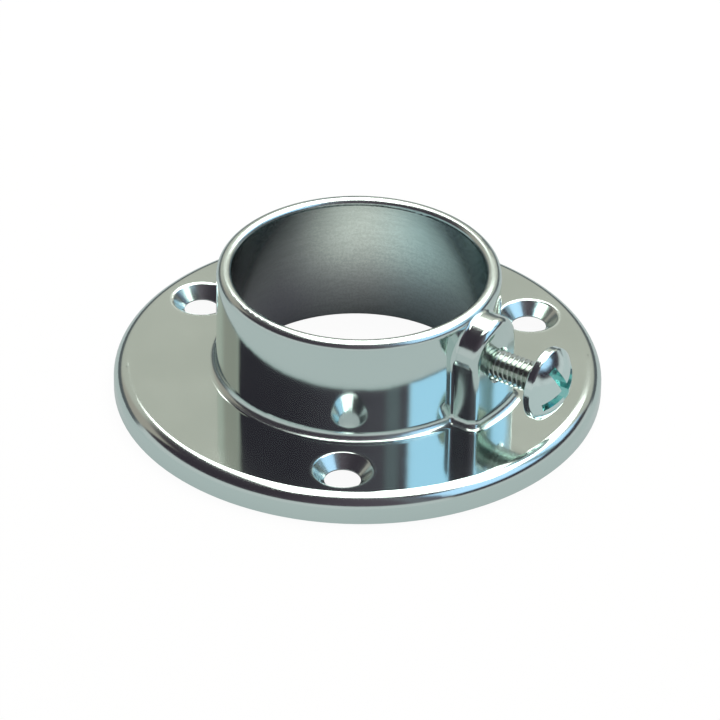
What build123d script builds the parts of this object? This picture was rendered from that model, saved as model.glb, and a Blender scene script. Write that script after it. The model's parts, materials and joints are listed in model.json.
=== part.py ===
from build123d import *
import os
from math import radians, sqrt, tan

# Base flange for a round tube: a die-cast disc with an upright collar and, on one side of the
# collar, a boss whose clamp screw presses on the tube. The disc is screwed down through three
# countersunk holes.
# Frame: +Z up along the bore, origin on the bore's axis at the underside, +X along the clamp screw.

# ---- driving sizes, mm ----
tube_diameter = 32.0
tube_clearance = 0.2  # radial, between the tube and the bore
collar_wall = 2.0
collar_height = 17.7  # underside to rim
casting_draft = 0.4  # degrees, of the collar's outer wall and the boss's front
rim_outer_rounding = 1.1
rim_inner_rounding = 0.8
bore_chamfer = 0.25  # at the underside

disc_width = 13.3  # collar to the disc's edge
disc_height = 3.65  # underside of the foot to the top of the disc
disc_edge_rounding = 2.0
plate_thickness = 1.7  # the disc is hollow underneath, inside its foot
foot_width = 1.8  # the ring that the disc's edge stands on
foot_edge_rounding = 0.2
hollow_corner_fillet = 0.8
base_fillet = 1.2  # where the collar and the boss rise from the disc

wall_screw_inset = 6.6  # disc's edge to the screw's axis
wall_screw_count = 3
wall_hole_diameter = 4.6
countersink_diameter = 7.7
countersink_angle = 90.0
countersink_rounding = 0.5

clamp_screw_diameter = 3.97
clamp_screw_length = 10.0  # under the head
clamp_screw_height = 11.0  # axis above the underside
clamp_screw_backed_out = 6.45  # how far the head stands off the boss
thread_clearance = 0.04  # radial, between the screw and the tapped hole
screw_tip_chamfer = 0.5

head_diameter = 9.5
head_side_height = 1.1
head_height = 2.6
head_edge_rounding = 0.25
recess_diameter = 7.2  # tip to tip of the cross
recess_floor_diameter = 3.2
recess_arm_width = 1.3
recess_depth = 2.0  # below the crown's top
recess_turn = 24.0  # degrees, where the thread has left the cross

boss_wall = 2.85  # beside the tapped hole
boss_projection = 3.25  # collar to the boss's front face, at the clamp screw
boss_crown_drop = 0.5  # rim of the collar down to the boss's top
boss_edge_rounding = 1.1
boss_corner_fillet = 0.5  # up the joint of boss and collar
tapped_hole_chamfer = 0.4

# ---- sizes that follow ----
bore_radius = tube_diameter / 2 + tube_clearance
collar_radius = bore_radius + collar_wall  # at the rim
collar_foot_radius = collar_radius + (collar_height - disc_height) * tan(radians(casting_draft))
disc_radius = collar_radius + disc_width
hollow_radius = disc_radius - foot_width
hollow_height = disc_height - plate_thickness
wall_screw_circle_radius = disc_radius - wall_screw_inset
countersink_depth = (countersink_diameter - wall_hole_diameter) / 2 / tan(radians(countersink_angle / 2))
tapped_hole_radius = clamp_screw_diameter / 2 + thread_clearance
boss_front = collar_radius + boss_projection
boss_half_width = tapped_hole_radius + boss_wall
boss_crown_height = collar_height - boss_crown_drop
boss_arc_height = boss_crown_height - boss_half_width
seam_angle = 180.0 * (1 - 1 / wall_screw_count)  # clear of the boss and of every hole
tolerance = 1e-3


def corner(face, x, z):
    """The corner of a section in the XZ plane that lies at x, z."""
    return face.vertices().sort_by_distance((x, 0, z))[0]


def at_height(edge, z):
    """Whether an edge lies flat at the height z."""
    box = edge.bounding_box()
    return abs(box.min.Z - z) < tolerance and abs(box.max.Z - z) < tolerance


def turned_casting():
    """Disc, foot and collar, turned about the bore from one section of nearly even wall."""
    section = make_face(
        Polyline(
            (bore_radius, 0, 0),
            (collar_radius, 0, 0),
            (collar_radius, 0, hollow_height),
            (hollow_radius, 0, hollow_height),
            (hollow_radius, 0, 0),
            (disc_radius, 0, 0),
            (disc_radius, 0, disc_height),
            (collar_foot_radius, 0, disc_height),
            (collar_radius, 0, collar_height),
            (bore_radius, 0, collar_height),
            close=True,
        )
    )
    for x, z, radius in (
        (disc_radius, disc_height, disc_edge_rounding),
        (collar_radius, collar_height, rim_outer_rounding),
        (bore_radius, collar_height, rim_inner_rounding),
        (collar_radius, hollow_height, hollow_corner_fillet),
        (hollow_radius, hollow_height, hollow_corner_fillet),
        (hollow_radius, 0, foot_edge_rounding),
        (disc_radius, 0, foot_edge_rounding),
    ):
        section = fillet(corner(section, x, z), radius)
    section = chamfer(corner(section, bore_radius, 0), bore_chamfer)
    return Rot(0, 0, seam_angle) * revolve(section, Axis.Z)


def boss():
    """Arch-topped block on the disc against the collar; its front is turned about the bore."""
    sunk = disc_height - plate_thickness / 2
    stem_height = boss_arc_height - sunk
    arch = Pos(0, boss_arc_height) * Circle(boss_half_width)
    stem = Pos(0, sunk + stem_height / 2) * Rectangle(2 * boss_half_width, stem_height)
    inside_wall = bore_radius + collar_wall / 2
    block = extrude(Plane.YZ.offset(inside_wall) * (arch + stem), boss_front)
    slope = tan(radians(casting_draft))
    turned_front = Cone(
        boss_front + clamp_screw_height * slope,
        boss_front - (collar_height - clamp_screw_height) * slope,
        collar_height,
        align=(Align.CENTER, Align.CENTER, Align.MIN),
    )
    block &= turned_front
    front = block.faces().sort_by(Axis.X)[-1]
    return fillet([edge for edge in front.edges() if not at_height(edge, sunk)], boss_edge_rounding)


def meets_collar(edge):
    """Whether an edge runs up the collar where the boss comes out of it."""
    box = edge.bounding_box()
    on_wall = bore_radius < box.min.X and box.max.X < collar_foot_radius + tolerance
    return on_wall and box.max.Z < boss_crown_height + tolerance and box.size.Z > boss_half_width / 2


def join_fillets(body):
    """Blends the boss into the collar, then both of them into the disc."""
    body = fillet([edge for edge in body.edges() if meets_collar(edge)], boss_corner_fillet)
    flat_radius = disc_radius - disc_edge_rounding
    roots = [
        edge
        for edge in body.edges()
        if at_height(edge, disc_height) and edge.bounding_box().max.X < flat_radius - tolerance
    ]
    return fillet(roots, base_fillet)


def cut_wall_screw_holes(body):
    """Through holes with countersinks whose mouths are softened."""
    first_hole = 180 / wall_screw_count  # the boss stands midway between two holes
    for place in PolarLocations(wall_screw_circle_radius, wall_screw_count, start_angle=first_hole):
        mouth = place * Pos(0, 0, disc_height)
        body -= mouth * Cylinder(wall_hole_diameter / 2, 2 * disc_height)
        body -= mouth * Cone(
            wall_hole_diameter / 2,
            countersink_diameter / 2,
            countersink_depth,
            align=(Align.CENTER, Align.CENTER, Align.MAX),
        )
    rims = [
        edge
        for edge in body.edges().filter_by(GeomType.CIRCLE)
        if at_height(edge, disc_height) and abs(edge.radius - countersink_diameter / 2) < tolerance
    ]
    return fillet(rims, countersink_rounding)


def cut_tapped_hole(body):
    """The clamp screw's hole, from the boss's front face into the bore."""
    mouth = Pos(boss_front, 0, clamp_screw_height) * Rot(0, 90, 0)
    body -= mouth * Cylinder(tapped_hole_radius, 2 * (boss_front - bore_radius + collar_wall))
    flare = 2 * tapped_hole_chamfer
    return body - mouth * Cone(tapped_hole_radius, tapped_hole_radius + flare, flare)


def build_flange_body():
    body = join_fillets(turned_casting() + boss())
    return cut_tapped_hole(cut_wall_screw_holes(body))


def cross_recess(crown_radius):
    """Cross cut down from a crown's top; the ends of its arms lean in from the crown to the floor."""
    arms = Box(recess_diameter, recess_arm_width, 2 * recess_depth)
    arms += Box(recess_arm_width, recess_diameter, 2 * recess_depth)
    tip_drop = crown_radius - sqrt(crown_radius**2 - (recess_diameter / 2) ** 2)
    leaning = Pos(0, 0, -tip_drop) * Cone(
        recess_floor_diameter / 2,
        recess_diameter / 2,
        recess_depth - tip_drop,
        align=(Align.CENTER, Align.CENTER, Align.MAX),
    )
    open_top = Cylinder(recess_diameter / 2, tip_drop, align=(Align.CENTER, Align.CENTER, Align.MAX))
    return Rot(0, 0, recess_turn) * (arms & (leaning + open_top))


def build_clamp_screw():
    """Machine screw with a wide low head; the thread is left plain at its outer diameter."""
    shank = Cylinder(
        clamp_screw_diameter / 2, clamp_screw_length, align=(Align.CENTER, Align.CENTER, Align.MAX)
    )
    shank = chamfer(shank.edges().sort_by(Axis.Z)[0], screw_tip_chamfer)
    crown = head_height - head_side_height
    crown_radius = ((head_diameter / 2) ** 2 + crown**2) / (2 * crown)
    head = Cylinder(head_diameter / 2, head_height, align=(Align.CENTER, Align.CENTER, Align.MIN))
    head &= Pos(0, 0, head_height - crown_radius) * Sphere(crown_radius)
    head = fillet(head.edges().filter_by(GeomType.CIRCLE), head_edge_rounding)
    screw = shank + head - Pos(0, 0, head_height) * cross_recess(crown_radius)
    return Pos(boss_front + clamp_screw_backed_out, 0, clamp_screw_height) * Rot(0, 90, 0) * screw


os.makedirs("parts", exist_ok=True)
export_step(build_flange_body(), "parts/flange_body.step")
export_step(build_clamp_screw(), "parts/clamp_screw.step")
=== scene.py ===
import json
from math import atan2, cos, radians, sin, tau

import bmesh
import bpy
from mathutils import Matrix, Vector


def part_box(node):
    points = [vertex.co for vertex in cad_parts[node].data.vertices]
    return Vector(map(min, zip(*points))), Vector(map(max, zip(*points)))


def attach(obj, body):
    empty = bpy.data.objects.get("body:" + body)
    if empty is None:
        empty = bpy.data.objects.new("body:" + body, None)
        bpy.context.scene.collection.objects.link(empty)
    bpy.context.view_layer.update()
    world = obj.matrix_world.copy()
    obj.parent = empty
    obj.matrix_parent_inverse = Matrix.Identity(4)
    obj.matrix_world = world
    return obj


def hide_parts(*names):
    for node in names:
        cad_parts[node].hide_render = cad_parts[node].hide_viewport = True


# A chrome-plated base flange for a tube, with its clamp screw, on a pale floor.
# All sizes are in metres, in the frame's own axes: +Z up the bore, +X along the clamp screw.

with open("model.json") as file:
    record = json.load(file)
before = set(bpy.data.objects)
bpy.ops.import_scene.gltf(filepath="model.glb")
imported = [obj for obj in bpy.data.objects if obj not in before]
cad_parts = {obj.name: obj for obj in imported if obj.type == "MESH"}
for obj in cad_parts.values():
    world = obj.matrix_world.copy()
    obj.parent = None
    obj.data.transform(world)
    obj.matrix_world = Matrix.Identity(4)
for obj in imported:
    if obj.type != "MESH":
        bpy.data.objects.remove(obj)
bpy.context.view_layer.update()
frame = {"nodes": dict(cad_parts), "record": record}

# ---- the shot ----
camera_position = Vector((0.25824, -0.38430, 0.31092))
camera_target = Vector((0.000233, 0.000156, 0.003511))
camera_roll = radians(0.843)
camera_lens = 215.28
camera_sensor = 36
camera_bearing = radians(-56.1)  # which way the camera stands from the flange

# ---- the softbox ----
lamp_height = 0.9
lamp_behind = 1.12  # how far it reaches past the flange, away from the camera
lamp_before = 0.12  # and towards the camera
lamp_width = 1.02
lamp_right = 0.235  # how far its middle hangs to the camera's right
lamp_power = 13.9
lamp_color = (1.0, 0.98, 0.93)

# ---- the studio, as the chrome mirrors it; bearings are from the camera's, to the right ----
room_light = (0.35, 0.35, 0.35, 1)  # what all but the chrome gets from it
edge_softness = radians(2.5)
dark_from, dark_to = radians(-112), radians(43)
dark_bottom = radians(20)
dim_from, dim_to = radians(-60), radians(25)  # the dark gets paler between these
stand_at = radians(29)  # something paler in the dark, left of the window
stand_reach, stand_core = radians(9), radians(2)
window_to = radians(129)
window_bottom, window_top = radians(27), radians(60)
sill_bottom = radians(12)
bar_at = radians(102)
bar_reach, bar_core = radians(6.5), radians(3.5)
side_to = radians(-142)  # a browner piece of the far wall, left of the dark
side_softness = 3 * edge_softness
skirting_top = radians(16)  # the dark foot of the far wall
ceiling_from = radians(43)  # the far wall is dark above this
white = (1, 1, 1, 1)
wall_color = (0.54, 0.51, 0.45, 1)
skirting_color = (0.105, 0.112, 0.12, 1)
dark_color = (0.042, 0.031, 0.042, 1)
dim_color = (0.105, 0.08, 0.10, 1)
stand_color = (0.167, 0.167, 0.186, 1)
window_color = (0.65, 0.95, 1.28, 1)
bar_color = (0.2, 0.29, 0.31, 1)
side_color = (0.43, 0.37, 0.325, 1)
low_color = (0.60, 0.61, 0.61, 1)  # the pale sheet that the floor rises into

# ---- the floor ----
floor_reach = 3.0
floor_glow = 0.95  # share that looks evenly lit, white to the camera, whatever falls on the floor
floor_seen = (0.505, 0.54, 0.54, 1)  # how the chrome sees that share
floor_colors = (0.86, 0.86, 0.86, 1), (0.9, 0.9, 0.9, 1)
floor_cloud_scale = 6.0

# ---- sizes of the object ----
mount = {m["name"]: m for m in frame["record"]["mounts"]}
bore_radius = mount["tube_bore"]["dims"]["r_mm"] / 1000
bore_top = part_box("flange_body")[1].z
collar_radius = bore_radius + 0.002
disc_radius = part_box("flange_body")[1].y
disc_height = 0.00365
plate_underside = mount["wall_screw_holes"]["pos_m"][2]
foot_width = 0.0018
hollow_radius = disc_radius - foot_width
hole_circle_radius = mount["wall_screw_holes"]["dims"]["pcd_mm"] / 2000
hole_spacing = tau / mount["wall_screw_holes"]["dims"]["count"]
screw_low, screw_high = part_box("clamp_screw")
screw_axis_height = (screw_low.z + screw_high.z) / 2
screw_axis = Vector((0, 0, screw_axis_height))
shank_length = 0.010
shank_radius = 0.001985
seat = screw_low.x + shank_length  # where the head's flat back starts
head_radius = 0.00475
head_back_edge = 0.0003  # the rounded edge of the head's back ends below this
head_height = 0.0026
crown_radius = 0.00827
crown_lift = 0.0008  # how much higher the crown stands in the middle than the solid's
cross_reach, cross_core = 0.0042, 0.0040  # from the axis
cross_skin, cross_depth = 0.00006, 0.00016  # its colour starts and is full so far under the crown
thread_pitch = 0.0007
thread_depth = 0.00043

# ---- finishes; a pair is the two ends of what a noise makes of it, and scales are per metre ----
noise_from, noise_to = 0.3, 0.7  # most of a noise lies between these
polished_colors = (0.67, 0.79, 0.765, 1), (0.72, 0.83, 0.80, 1)
polished_roughness = 0.06, 0.10
polished_cloud_scale = 90.0
wave_scale, wave_height, wave_strength = 160.0, 0.00002, 0.5
raw_colors = (0.49, 0.565, 0.53, 1), (0.64, 0.73, 0.69, 1)
raw_roughness = 0.17, 0.27
painted_dark_color = (0.085, 0.085, 0.11, 1)  # painted shade and a painted reflection of something dark, full where the bore's own colour is gone
cool_colors = (0.39, 0.56, 0.56, 1), (0.50, 0.72, 0.72, 1)
shade_top = 0.95 * bore_top  # the bore's painted shade deepens from here to the underside
cool_from, cool_to = 0.0, 0.009  # to the right of the bore's axis
dark_reflection_from, dark_reflection_to = -0.011, -0.001  # a painted reflection of something dark fades from left to right between these
lit_at_left, lit_at_bottom = 0.3, 0.25  # the share of the bore's own colour left there; the rest is painted dark
grain_scale, streak_scale, grain_roughness = 3600.0, 2600.0, 0.6
grain_share, streak_share = 0.7, 0.3
streak_shape = (0.12, 0.12, 1.0)  # stretched around the bore
speck_from, speck_to = 0.38, 0.62
pit_height, pit_strength = 0.000003, 0.4
plating_edge_far, plating_edge_near = 0.0002, 0.00005  # where the polish ends
foot_edge = 0.0001
head_colors = (0.74, 0.90, 0.88, 1), (0.80, 0.94, 0.92, 1)
thread_colors = (0.54, 0.61, 0.56, 1), (0.62, 0.68, 0.63, 1)
# a painted reflection that tints the cross recess
cross_reflection_color = (0.60, 0.88, 0.86, 1)
screw_roughness = 0.12, 0.18
screw_cloud_scale = 400.0
die_mark_scale, die_mark_height, die_mark_strength = 3000.0, 0.00001, 0.4

# ---- less polished places; a pair is where a place begins and where it has its own roughness ----
root_bottom = disc_height + 0.00001, disc_height + 0.00009  # the fillets up to collar and boss
root_top = disc_height + 0.00135, disc_height + 0.00095
root_roughness = 0.22
boss_bottom = disc_height + 0.00055, disc_height + 0.00155
boss_back = collar_radius + 0.0003, collar_radius + 0.0008
boss_roughness = 0.14
disc_edge = disc_radius - 0.0024, disc_radius - 0.0014
disc_edge_roughness = 0.15
countersink_edge = 0.0044, 0.0040  # from the screw hole's axis
countersink_roughness = 0.20
rim_bottom = bore_top - 0.0012, bore_top - 0.0005
rim_roughness = 0.21


class Graph:
    """Short forms for the nodes that the materials and the world share."""

    def __init__(self, owner):
        owner.use_nodes = True
        self.tree = owner.node_tree
        self.tree.nodes.clear()

    def node(self, kind, **settings):
        made = self.tree.nodes.new("ShaderNode" + kind)
        for name, value in settings.items():
            setattr(made, name, value)
        return made

    def put(self, socket, value):
        """Links a socket to another, or gives it a plain value."""
        if isinstance(value, bpy.types.NodeSocket):
            self.tree.links.new(value, socket)
        else:
            socket.default_value = value

    def math(self, operation, *values):
        made = self.node("Math", operation=operation)
        for socket, value in zip(made.inputs, values):
            self.put(socket, value)
        return made.outputs[0]

    def across(self, first, second):
        """The distance from an axis, from the two coordinates across it."""
        squares = self.math("MULTIPLY", first, first), self.math("MULTIPLY", second, second)
        return self.math("SQRT", self.math("ADD", *squares))

    def ramp(self, value, start, end, low=0.0, high=1.0):
        """Goes smoothly from low to high as value goes from start to end."""
        made = self.node("MapRange", interpolation_type="SMOOTHSTEP")
        for socket, setting in zip(made.inputs, (value, start, end, low, high)):
            self.put(socket, setting)
        return made.outputs[0]

    def between(self, value, low, high, softness):
        """1 from low to high, 0 outside."""
        rise = self.ramp(value, low - softness, low + softness)
        return self.math("MULTIPLY", rise, self.ramp(value, high + softness, high - softness))

    def near(self, value, middle, reach, core):
        """1 within core of the middle, 0 beyond reach."""
        away = self.math("ABSOLUTE", self.math("SUBTRACT", value, middle))
        return self.ramp(away, reach, core)

    def mix(self, share, first, second):
        """A colour that goes from first to second."""
        made = self.node("Mix", data_type="RGBA")
        self.put(made.inputs[0], share)
        self.put(made.inputs[6], first)
        self.put(made.inputs[7], second)
        return made.outputs[2]

    def mix_numbers(self, share, first, second):
        """A number that goes from first to second."""
        made = self.node("Mix", data_type="FLOAT")
        self.put(made.inputs[0], share)
        self.put(made.inputs[2], first)
        self.put(made.inputs[3], second)
        return made.outputs[0]

    def noise(self, place, scale, detail=4.0, roughness=0.5):
        made = self.node("TexNoise")
        settings = {"Vector": place, "Scale": scale, "Detail": detail, "Roughness": roughness}
        for name, value in settings.items():
            self.put(made.inputs[name], value)
        return made.outputs["Fac"]

    def parts(self, vector):
        """The x, y and z of a vector."""
        made = self.node("SeparateXYZ")
        self.put(made.inputs[0], vector)
        return made.outputs

    def vector(self, *values):
        """A vector from its x, y and z."""
        made = self.node("CombineXYZ")
        for socket, value in zip(made.inputs, values):
            self.put(socket, value)
        return made.outputs[0]

    def vector_math(self, operation, first, second, output):
        made = self.node("VectorMath", operation=operation)
        self.put(made.inputs[0], first)
        self.put(made.inputs[1], second)
        return made.outputs[output]

    def bump(self, height, distance, strength, under=None):
        made = self.node("Bump")
        made.inputs["Strength"].default_value = strength
        made.inputs["Distance"].default_value = distance
        self.put(made.inputs["Height"], height)
        if under is not None:
            self.put(made.inputs["Normal"], under)
        return made.outputs["Normal"]

    def metal(self, color, roughness, normal):
        """Ends a material in a metal shader."""
        made = self.node("BsdfPrincipled")
        made.inputs["Metallic"].default_value = 1.0
        self.put(made.inputs["Base Color"], color)
        self.put(made.inputs["Roughness"], roughness)
        self.put(made.inputs["Normal"], normal)
        self.put(self.node("OutputMaterial").inputs[0], made.outputs[0])


def light_world():
    """White to the camera, soft white light, and to the chrome a studio with a dark side."""
    world = bpy.data.worlds.new("studio")
    bpy.context.scene.world = world
    g = Graph(world)
    turned = g.node("VectorRotate", rotation_type="Z_AXIS")
    g.put(turned.inputs["Vector"], g.node("TexCoord").outputs["Generated"])
    turned.inputs["Angle"].default_value = -camera_bearing
    x, y, z = g.parts(turned.outputs[0])
    bearing = g.math("ARCTAN2", y, x)
    height = g.math("ARCSINE", z)
    soft = edge_softness

    front = g.mix(g.ramp(bearing, dim_from, dim_to), dark_color, dim_color)
    front = g.mix(g.near(bearing, stand_at, stand_reach, stand_core), front, stand_color)
    front = g.mix(g.ramp(height, dark_bottom + soft, dark_bottom - soft), front, low_color)

    window = g.mix(g.near(bearing, bar_at, bar_reach, bar_core), window_color, bar_color)
    window = g.mix(g.between(height, window_bottom, window_top, soft), dark_color, window)
    window = g.mix(g.ramp(height, sill_bottom + soft, sill_bottom - soft), window, low_color)

    far = g.mix(g.between(bearing, side_to, dark_from, side_softness), wall_color, side_color)
    far = g.mix(g.ramp(height, skirting_top - soft, skirting_top + soft), skirting_color, far)
    far = g.mix(g.ramp(height, ceiling_from - soft, ceiling_from + soft), far, dark_color)

    seen = g.mix(g.between(bearing, dark_from, dark_to, soft), far, front)
    seen = g.mix(g.between(bearing, dark_to, window_to, soft), seen, window)
    path = g.node("LightPath")
    color = g.mix(path.outputs["Is Glossy Ray"], room_light, seen)
    color = g.mix(path.outputs["Is Camera Ray"], color, white)
    background = g.node("Background")
    g.put(background.inputs["Color"], color)
    g.put(g.node("OutputWorld").inputs[0], background.outputs[0])


def hang_lamp():
    """A wide softbox overhead, most of it behind the flange."""
    lamp = bpy.data.lights.new("softbox", "AREA")
    lamp.shape = "RECTANGLE"
    lamp.size = lamp_behind + lamp_before
    lamp.size_y = lamp_width
    lamp.energy = lamp_power
    lamp.color = lamp_color
    holder = bpy.data.objects.new("softbox", lamp)
    away = Vector((-cos(camera_bearing), -sin(camera_bearing), 0))
    right = Vector((-sin(camera_bearing), cos(camera_bearing), 0))
    middle = (lamp_behind - lamp_before) / 2 * away + lamp_right * right
    holder.location = middle + Vector((0, 0, lamp_height))
    holder.rotation_euler = (0, 0, camera_bearing)
    bpy.context.scene.collection.objects.link(holder)


def floor_material():
    """Pale and matt; the camera and the chrome see most of it as evenly lit."""
    material = bpy.data.materials.new("pale_floor")
    g = Graph(material)
    place = g.node("TexCoord").outputs["Object"]
    matt = g.node("BsdfDiffuse")
    g.put(matt.inputs["Color"], g.mix(g.noise(place, floor_cloud_scale), *floor_colors))
    glow = g.node("Emission")
    path = g.node("LightPath")
    g.put(glow.inputs["Color"], g.mix(path.outputs["Is Glossy Ray"], white, floor_seen))
    x, y, _ = g.parts(place)
    # The bore mirrors the floor near it as it is lit.
    open_floor = g.ramp(g.across(x, y), bore_radius, disc_radius)
    mirrored = g.math("MULTIPLY", path.outputs["Is Glossy Ray"], open_floor)
    seen = g.math("MAXIMUM", path.outputs["Is Camera Ray"], mirrored)
    seen = g.math("MAXIMUM", seen, path.outputs["Is Transmission Ray"])
    both = g.node("MixShader")
    g.put(both.inputs[0], g.math("MULTIPLY", seen, floor_glow))
    g.put(both.inputs[1], matt.outputs[0])
    g.put(both.inputs[2], glow.outputs[0])
    g.put(g.node("OutputMaterial").inputs[0], both.outputs[0])
    return material


def lay_floor():
    """A wide flat sheet that the foot stands on."""
    r = floor_reach
    mesh = bpy.data.meshes.new("floor")
    mesh.from_pydata([(-r, -r, 0), (r, -r, 0), (r, r, 0), (-r, r, 0)], [], [(0, 1, 2, 3)])
    floor = bpy.data.objects.new("floor", mesh)
    mesh.materials.append(floor_material())
    bpy.context.scene.collection.objects.link(floor)


def less_polished(g, roughness, x, y, z):
    """The roughness, raised on the fillets, the boss and the edges and in the countersinks."""
    from_axis = g.across(x, y)
    in_root = g.math("MULTIPLY", g.ramp(z, *root_bottom), g.ramp(z, *root_top))
    on_boss = g.math("MULTIPLY", g.ramp(from_axis, *boss_back), g.ramp(z, *boss_bottom))
    roughness = g.ramp(in_root, 0.0, 1.0, roughness, root_roughness)
    roughness = g.ramp(on_boss, 0.0, 1.0, roughness, boss_roughness)
    roughness = g.ramp(from_axis, *disc_edge, roughness, disc_edge_roughness)

    # Every screw hole lies midway between two multiples of the spacing.
    turn = g.math("FLOORED_MODULO", g.math("ARCTAN2", y, x), hole_spacing)
    turn = g.math("SUBTRACT", turn, hole_spacing / 2)
    outward = g.math("MULTIPLY", from_axis, g.math("COSINE", turn))
    outward = g.math("SUBTRACT", outward, hole_circle_radius)
    from_hole = g.across(outward, g.math("MULTIPLY", from_axis, g.math("SINE", turn)))
    roughness = g.ramp(from_hole, *countersink_edge, roughness, countersink_roughness)
    return g.ramp(z, *rim_bottom, roughness, rim_roughness)


def casting_material():
    """Chrome on polished zinc; the bore and the hollow underneath are raw and thinly plated, and
    their colour carries painted shade and a painted reflection.
    """
    material = bpy.data.materials.new("chrome_casting")
    g = Graph(material)
    place = g.node("TexCoord").outputs["Object"]
    x, y, z = g.parts(place)
    from_axis = g.across(x, y)
    far, near = plating_edge_far, plating_edge_near
    in_bore = g.ramp(from_axis, bore_radius + far, bore_radius + near)
    under = g.ramp(z, plate_underside + far, plate_underside + near)
    inside_foot = g.ramp(from_axis, hollow_radius + foot_edge, hollow_radius - foot_edge)
    raw = g.math("MAXIMUM", in_bore, g.math("MULTIPLY", under, inside_foot))

    cloud = g.noise(place, polished_cloud_scale, detail=3.0)
    grain = g.noise(place, grain_scale, detail=3.0, roughness=grain_roughness)
    stretched = g.vector_math("MULTIPLY", place, streak_shape, 0)
    streaks = g.noise(stretched, streak_scale, detail=3.0, roughness=grain_roughness)
    speck = g.math("MULTIPLY", grain, grain_share)
    speck = g.math("ADD", speck, g.math("MULTIPLY", streaks, streak_share))
    speck = g.ramp(speck, speck_from, speck_to)

    # The bore's colour is painted darker towards the bottom, a painted shade, and towards the
    # left, a painted reflection of something dark; it is bluer to the right.
    deep = g.ramp(z, shade_top, 0.0)
    sideways = g.math("MULTIPLY", x, -sin(camera_bearing))
    sideways = g.math("ADD", sideways, g.math("MULTIPLY", y, cos(camera_bearing)))
    lit_share = g.ramp(sideways, dark_reflection_from, dark_reflection_to, lit_at_left, 1.0)
    lit_share = g.math("MULTIPLY", g.ramp(deep, 0.0, 1.0, 1.0, lit_at_bottom), lit_share)
    cool = g.ramp(sideways, cool_from, cool_to)
    raw_color = g.mix(cool, g.mix(speck, *raw_colors), g.mix(speck, *cool_colors))
    # Painted shade deep down and a painted reflection of something dark at the left darken the
    # colour here.
    raw_color = g.mix(lit_share, painted_dark_color, raw_color)

    color = g.mix(raw, g.mix(cloud, *polished_colors), raw_color)
    smooth = g.ramp(cloud, noise_from, noise_to, *polished_roughness)
    smooth = less_polished(g, smooth, x, y, z)
    rough = g.ramp(grain, noise_from, noise_to, *raw_roughness)
    waves = g.bump(g.noise(place, wave_scale, detail=2.0), wave_height, wave_strength)
    pits = g.bump(g.math("MULTIPLY", speck, raw), pit_height, pit_strength, waves)
    g.metal(color, g.mix_numbers(raw, smooth, rough), pits)
    return material


def screw_material():
    """Bright plated steel with fine marks, a darker thread and a cross recess tinted with a
    painted reflection.
    """
    material = bpy.data.materials.new("plated_screw")
    g = Graph(material)
    place = g.node("TexCoord").outputs["Object"]
    cloud = g.noise(place, screw_cloud_scale, detail=3.0)
    marks = g.noise(place, die_mark_scale, detail=3.0)

    # The recess is what lies below the crown as the solid has it, so the lift is taken off first.
    x, y, z = g.parts(place)
    from_axis = g.across(y, g.math("SUBTRACT", z, screw_axis_height))
    share = g.math("DIVIDE", from_axis, head_radius)
    lift = g.math("SUBTRACT", 1.0, g.math("MULTIPLY", share, share))
    lift = g.math("MULTIPLY", lift, crown_lift)
    unlifted = g.vector(g.math("SUBTRACT", x, lift), y, z)
    crown_center = (seat + head_height - crown_radius, 0, screw_axis_height)
    from_center = g.vector_math("DISTANCE", unlifted, crown_center, "Value")
    below_crown = g.ramp(from_center, crown_radius - cross_skin, crown_radius - cross_depth)
    in_head = g.math("GREATER_THAN", x, seat + head_back_edge)
    in_cross = g.math("MULTIPLY", below_crown, in_head)
    in_cross = g.math("MULTIPLY", in_cross, g.ramp(from_axis, cross_reach, cross_core))

    on_head = g.math("GREATER_THAN", x, seat)
    color = g.mix(on_head, g.mix(cloud, *thread_colors), g.mix(cloud, *head_colors))
    roughness = g.ramp(marks, noise_from, noise_to, *screw_roughness)
    normal = g.bump(marks, die_mark_height, die_mark_strength)
    # The cross recess takes a painted reflection as its colour.
    g.metal(g.mix(in_cross, color, cross_reflection_color), roughness, normal)
    return material


def make_head(material):
    """The head from the solid, with its back closed and a higher crown."""
    hair = 0.00005
    mesh = frame["nodes"]["clamp_screw"].data.copy()
    head = bpy.data.objects.new("screw_head", mesh)
    bpy.context.scene.collection.objects.link(head)
    work = bmesh.new()
    work.from_mesh(mesh)

    def on_shank(vertex):
        off_axis = (vertex.co - screw_axis).yz.length
        return vertex.co.x < seat + hair and off_axis < shank_radius + hair

    shank = [face for face in work.faces if all(on_shank(v) for v in face.verts)]
    bmesh.ops.delete(work, geom=shank, context="FACES")
    ring = [v for v in work.verts if on_shank(v)]
    ring.sort(key=lambda v: atan2(v.co.z - screw_axis_height, v.co.y), reverse=True)
    work.faces.new(ring)
    for vertex in work.verts:
        if vertex.co.x > seat + head_back_edge:  # the crown and the recess, not the back
            share = (vertex.co - screw_axis).yz.length / head_radius
            vertex.co.x += crown_lift * (1 - share * share)
    work.to_mesh(mesh)
    work.free()
    mesh.materials.clear()
    mesh.materials.append(material)
    return head


def thread_radius(phase):
    """The thread's outline over one turn: a narrow crest, straight flanks and a rounded root."""
    crest, root, root_rise = 0.12, 0.16, 0.12
    away = abs(phase - 0.5) * 2  # 0 at the root, 1 at the crest
    if away > 1 - crest:
        return shank_radius
    if away < root:
        return shank_radius - thread_depth * (1 - root_rise * (away / root) ** 2)
    climb = (away - root) / (1 - crest - root)
    return shank_radius - thread_depth * (1 - root_rise) * (1 - climb)


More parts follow.
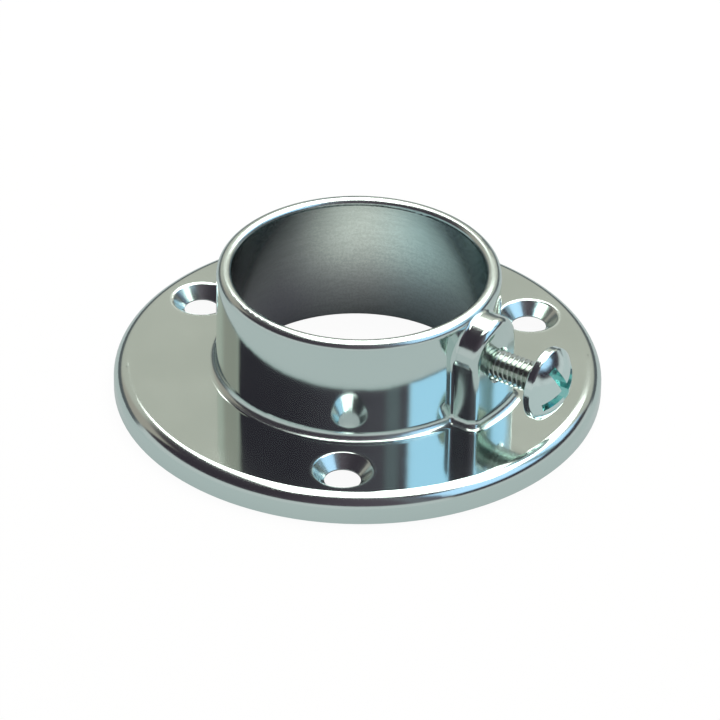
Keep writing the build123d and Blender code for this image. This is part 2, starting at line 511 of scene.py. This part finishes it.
def make_thread(material):
    """The shank with its helical thread, closed at the tip and inside the head."""
    around, rings_per_turn = 64, 16
    step = thread_pitch / rings_per_turn
    sunk = 0.0002  # how far it reaches into the head
    tip_taper, tip_depth = 0.0006, 1.1 * thread_depth
    rings = int((shank_length + sunk) / step) + 1
    vertices, faces = [], []
    for ring in range(rings):
        along = ring * step  # from the tip
        tip_radius = shank_radius - tip_depth * (1 - min(along / tip_taper, 1))
        for k in range(around):
            turn = k / around
            radius = min(thread_radius((along / thread_pitch - turn) % 1.0), tip_radius)
            y, z = radius * cos(tau * turn), radius * sin(tau * turn)
            vertices.append((screw_low.x + along, y, screw_axis_height + z))
    for ring in range(rings - 1):
        for k in range(around):
            a, b = ring * around + k, ring * around + (k + 1) % around
            faces.append((a, b, b + around, a + around))
    faces.append(tuple(reversed(range(around))))
    faces.append(tuple(range(around * (rings - 1), around * rings)))
    mesh = bpy.data.meshes.new("screw_thread")
    mesh.from_pydata(vertices, [], faces)
    mesh.validate()
    mesh.polygons.foreach_set("use_smooth", [True] * len(mesh.polygons))
    mesh.materials.append(material)
    thread = bpy.data.objects.new("screw_thread", mesh)
    bpy.context.scene.collection.objects.link(thread)
    return thread


def make_screw():
    material = screw_material()
    head = make_head(material)
    thread = make_thread(material)
    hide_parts("clamp_screw")
    for piece in (head, thread):
        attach(piece, "screw")


def dress_casting():
    casting = frame["nodes"]["flange_body"]
    casting.data.materials.clear()
    casting.data.materials.append(casting_material())


def place_camera():
    data = bpy.data.cameras.new("camera")
    data.lens = camera_lens
    data.sensor_width = camera_sensor
    camera = bpy.data.objects.new("camera", data)
    camera.location = camera_position
    aim = (camera_target - camera_position).to_track_quat("-Z", "Y").to_matrix().to_4x4()
    camera.rotation_mode = "QUATERNION"
    camera.rotation_quaternion = (aim @ Matrix.Rotation(camera_roll, 4, "Z")).to_quaternion()
    bpy.context.scene.collection.objects.link(camera)
    bpy.context.scene.camera = camera


light_world()
hang_lamp()
lay_floor()
dress_casting()
make_screw()
place_camera()
bpy.context.scene.view_settings.view_transform = "Standard"
